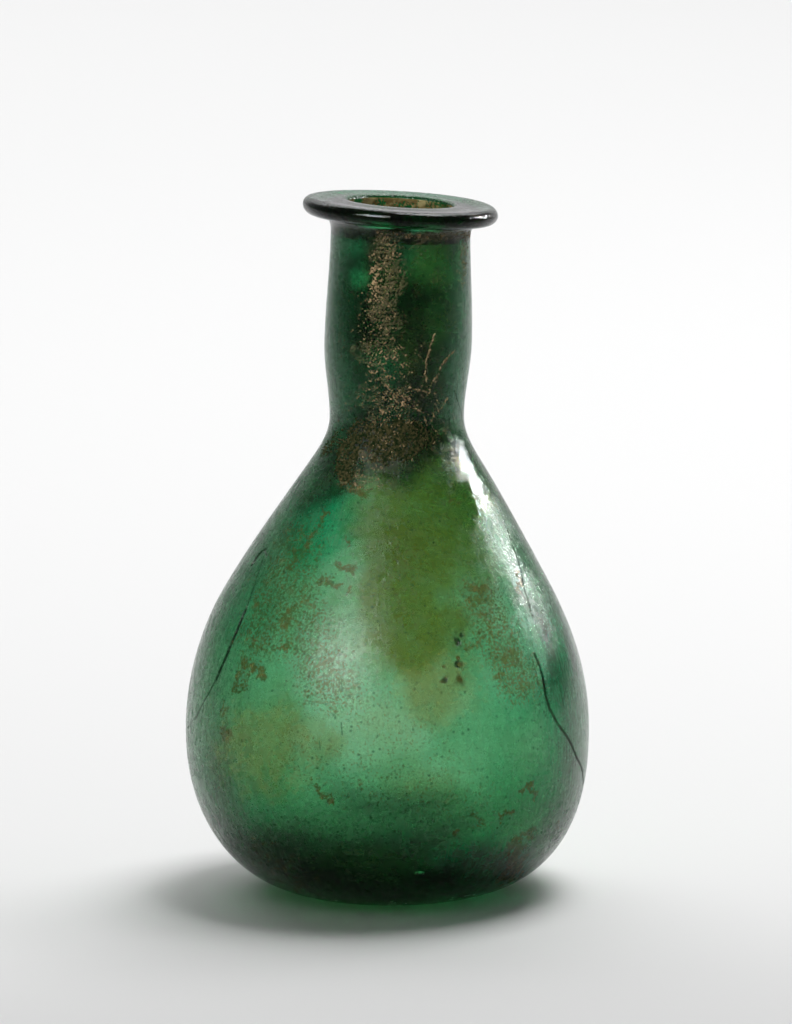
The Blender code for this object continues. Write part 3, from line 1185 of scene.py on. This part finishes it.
def glass_relief(tree, place, streaks, polish):
    """Fine grain, streaks up the wall and wrinkles round it, as a normal."""
    wrinkles = noise(tree, round_and_up(tree, place, 14.0, 900.0), 1.0, 4.0, 0.6)
    relief = sums(tree, "ADD", noise(tree, place, 1800.0, 5.0, 0.65), sums(tree, "MULTIPLY", streaks, 1.2))
    relief = sums(tree, "ADD", relief, sums(tree, "MULTIPLY", wrinkles, 0.6))
    relief = sums(tree, "MULTIPLY", relief, blended_number(tree, polish, 1.0, 0.45))
    bump = made(tree, "ShaderNodeBump", Strength=0.55, Distance=0.0001)
    tree.links.new(relief, bump.inputs["Height"])
    return bump.outputs["Normal"]


def glass_material():
    """Green glass that is dull with age, tinted by the soil film inside, dark where soil fills it and
    darkened in places by painted shade.
    """
    material, tree, shader = new_material("weathered_green_glass")
    shader.inputs["IOR"].default_value = GLASS_IOR
    shader.inputs["Transmission Weight"].default_value = 1.0
    shader.inputs["Specular Tint"].default_value = (*REFLECTED, 1.0)
    place = tree.nodes.new("ShaderNodeTexCoord").outputs["Object"]
    streaks = noise(tree, round_and_up(tree, place, 45.0, 160.0), 1.0, 5.0, 0.6)
    polish = attribute(tree, "polish")
    tree.links.new(glass_colour(tree, place, streaks), shader.inputs["Base Color"])
    tree.links.new(glass_roughness(tree, place, polish), shader.inputs["Roughness"])
    tree.links.new(glass_relief(tree, place, streaks, polish), shader.inputs["Normal"])
    volume = made(tree, "ShaderNodeVolumeAbsorption", Density=GLASS_DENSITY)
    volume.inputs["Color"].default_value = (*GLASS_TINT, 1.0)
    tree.links.new(volume.outputs["Volume"], tree.nodes["Material Output"].inputs["Volume"])
    return material


def dry_material(name, dark, light, scale, cover, shine=0.2):
    """A dull dry layer in grains of two colours, which covers part of what is under it."""
    material, tree, shader = new_material(name)
    place = tree.nodes.new("ShaderNodeTexCoord").outputs["Object"]
    grains = ranged(tree, noise(tree, place, scale, 4.0, 0.65), 0.42, 0.62)
    tree.links.new(blended(tree, grains, dark, light), shader.inputs["Base Color"])
    shader.inputs["Roughness"].default_value = 0.9
    shader.inputs["Specular IOR Level"].default_value = shine
    shader.inputs["Alpha"].default_value = cover
    return material


def soil_layers(surface):
    """Every layer of soil and bloom on the glass, with its look. The near-black layer at the neck's root is
    partly painted shade.
    """
    outside, mouth = wall_to_the_rim(), mouth_wall()
    tan = dry_material("tan_soil", BROWN, TAN, SOIL_GRAINS, 1.0)
    brown = dry_material("brown_soil", UMBER, OCHRE, SOIL_GRAINS, BROWN_COVER)
    bloom = dry_material("brown_bloom", OLIVE, KHAKI, SOIL_GRAINS, BLOOM_COVER)
    dark = dry_material("dark_soil_and_shade", PEAT_AND_SHADE, LOAM_AND_SHADE, DARK_GRAINS, 1.0, 0.0)
    film = dry_material("film", AMBER, SAND, FILM_GRAINS, FILM_COVER)
    lining = dry_material("mouth_lining", LINING_DARK, LINING_LIGHT, LINING_GRAINS, 1.0)
    plans = [
        ("neck_crust", outside, NECK_BAND, neck_crust, tan),
        ("body_soil", outside, BODY_BAND, body_soil, brown),
        ("neck_bloom", outside, BLOOM_BAND, neck_bloom, bloom),
        ("neck_root_soil_and_shade", outside, BLOOM_BAND, neck_root_soil_and_shade, dark),
        ("olive_bloom", outside, FILM_BAND, olive_bloom, film),
        ("mouth_soil", mouth, MOUTH_BAND, mouth_soil, lining),
    ]
    layers = []
    for name, outline, band, soil_of, look in plans:
        layer = caked_piece(name, surface, outline, band, soil_of)
        layer.data.materials.append(look)
        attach(layer, "root")
        layers.append(layer)
    return layers


def floor_piece():
    """A pale floor that runs out of sight, darker in front of the flask as painted shade."""
    bpy.ops.mesh.primitive_plane_add(size=FLOOR_SIZE)
    floor = bpy.context.object
    floor.name = "floor"
    material, tree, shader = new_material("pale_floor")
    place = tree.nodes.new("ShaderNodeTexCoord").outputs["Object"]
    # Painted shade: darker in front of the flask
    away = ranged(tree, axes_of(tree, place)["Y"], *FLOOR_SHADE_FADE)
    tree.links.new(blended(tree, away, FLOOR_NEAR_SHADED, FLOOR_FAR), shader.inputs["Base Color"])
    shader.inputs["Roughness"].default_value = 0.8
    shader.inputs["Specular IOR Level"].default_value = 0.2
    floor.data.materials.append(material)


def soft_light(name, place, size, power, target):
    """A rectangular soft light that faces the target."""
    data = bpy.data.lights.new(name, "AREA")
    data.shape = "RECTANGLE"
    data.size, data.size_y = size
    data.energy = power
    light = placed(name, data)
    light.location = place
    light.rotation_euler = (Vector(target) - Vector(place)).to_track_quat("-Z", "Y").to_euler()
    return light


def side_box(name, azimuth, elevation, size, power):
    """A soft box by its angle from the camera's side towards +X, and its height angle."""
    turn, rise = math.radians(azimuth), math.radians(elevation)
    out = Vector((math.sin(turn) * math.cos(rise), -math.cos(turn) * math.cos(rise), math.sin(rise)))
    return soft_light(name, AIM + BOX_DISTANCE * out, size, power, AIM)


def lights(pieces):
    """Soft boxes in front on the left and behind on the right for the flask alone, and overhead for all."""
    lit = bpy.data.collections.new("lit_by_the_side_boxes")
    for piece in pieces:
        lit.objects.link(piece)
    front = side_box("front_left_box", *FRONT_BOX)
    high = side_box("back_right_box", *BACK_BOX)
    low = side_box("back_right_low_box", *LOW_BOX)
    for box in (front, high, low):
        box.light_linking.receiver_collection = lit
    soft_light("overhead_box", (0.27, 0.22, 1.05), (0.5, 0.5), 8.2, AIM)
    soft_light("sweep_box", (-0.2, 1.5, 1.5), (3.0, 1.2), 33.0, (-0.2, 1.5, 0.0))


def world():
    """Bright behind the flask, dim overhead and behind the camera."""
    background = bpy.data.worlds.new("studio")
    bpy.context.scene.world = background
    background.use_nodes = True
    tree = background.node_tree
    place = tree.nodes.new("ShaderNodeTexCoord").outputs["Generated"]
    level = ranged(tree, axes_of(tree, place)["Y"], *WORLD_FADE, WORLD_DIM, WORLD_BRIGHT)
    tree.links.new(level, tree.nodes["Background"].inputs["Strength"])
    tree.nodes["Background"].inputs["Color"].default_value = (1.0, 1.0, 1.0, 1.0)


def camera():
    """The photograph's camera."""
    data = bpy.data.cameras.new("photo_camera")
    data.sensor_width = SENSOR
    data.lens = LENS
    data.clip_start, data.clip_end = 0.01, 50.0
    eye = placed("photo_camera", data)
    eye.location = photo_station()
    eye.rotation_euler = (math.pi / 2 - CAMERA_PITCH, 0.0, 0.0)
    bpy.context.scene.camera = eye


glass = glass_piece()
glass.data.materials.append(glass_material())
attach(glass, "root")
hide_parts("flask")
layers = soil_layers(finished_surface(glass))
floor_piece()
lights([glass] + layers)
world()
camera()
bpy.context.scene.view_settings.view_transform = "Standard"
